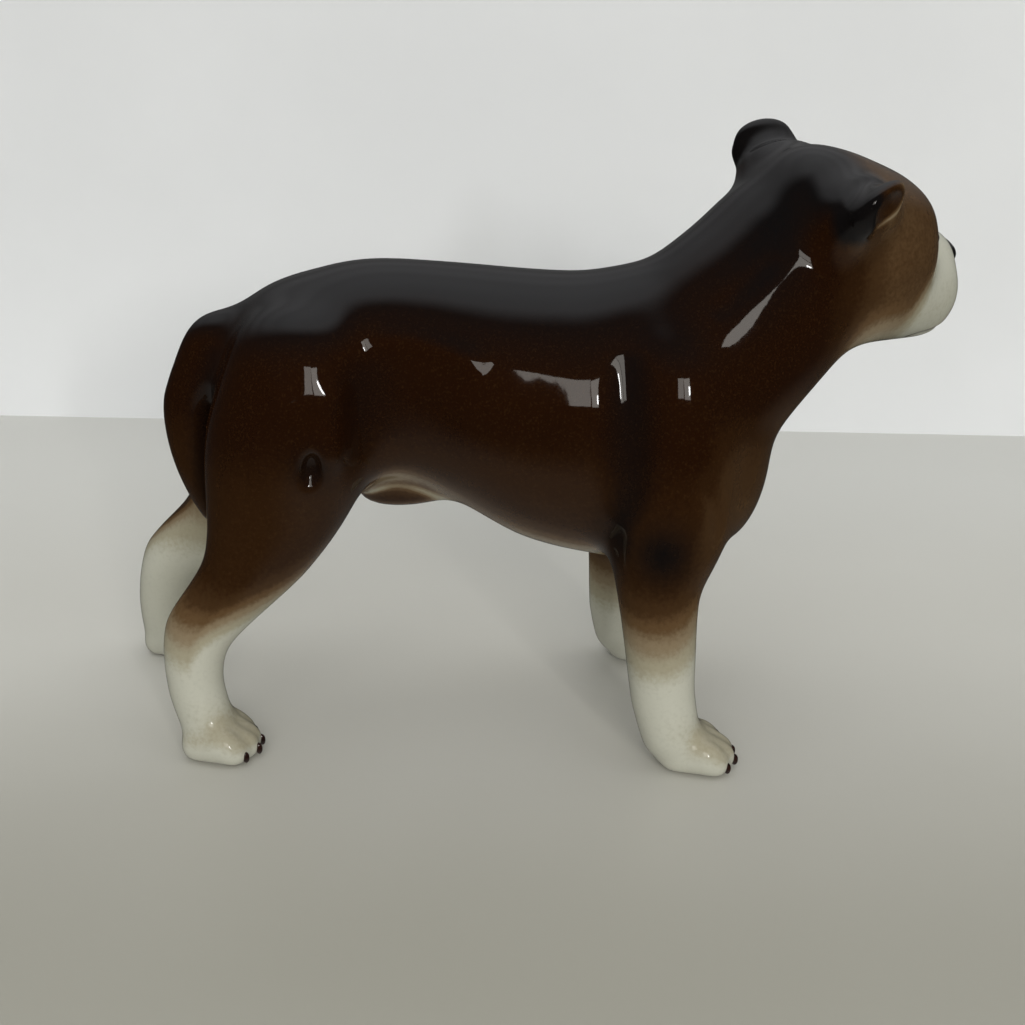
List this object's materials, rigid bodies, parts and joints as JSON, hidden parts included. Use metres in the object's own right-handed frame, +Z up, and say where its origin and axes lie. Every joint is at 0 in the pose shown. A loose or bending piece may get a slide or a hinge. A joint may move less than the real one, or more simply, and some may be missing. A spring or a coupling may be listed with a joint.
{
  "type": "dog figurine",
  "caption": "Glossy glazed ceramic figurine of a standing short-coated dog with its head turned to its left, dark brown back and cream paws and muzzle.",
  "frame": {"origin": "middle of the figure's box on the plane that its soles stand on", "axes": "+X to the front of the dog, along its body; +Y to the dog's left; +Z up"},
  "size_m": [0.1519, 0.055, 0.1052],
  "materials": {
    "glazed_body": "chocolate underglaze, near black along the back, under a thick clear gloss glaze",
    "glazed_ear": "charcoal underglaze with a brown hollow, under clear gloss glaze",
    "glazed_leg": "chocolate fading to cream at the paws, under clear gloss glaze",
    "claw_enamel": "dark brown enamel dots, gloss",
    "nose_enamel": "black enamel, gloss",
    "eye_enamel": "black and brown enamel, gloss"
  },
  "bodies": {
    "root": {"torso": "glazed_body", "head": "glazed_body", "ear_left": "glazed_ear", "ear_right": "glazed_ear", "tail": "glazed_body", "fore_leg_left": "glazed_leg", "fore_leg_right": "glazed_leg", "hind_leg_left": "glazed_leg", "hind_leg_right": "glazed_leg", "nose": "nose_enamel", "eye_left": "eye_enamel", "eye_right": "eye_enamel", "claws_fore_left": "claw_enamel", "claws_fore_right": "claw_enamel", "claws_hind_left": "claw_enamel", "claws_hind_right": "claw_enamel"}
  },
  "joints": []
}
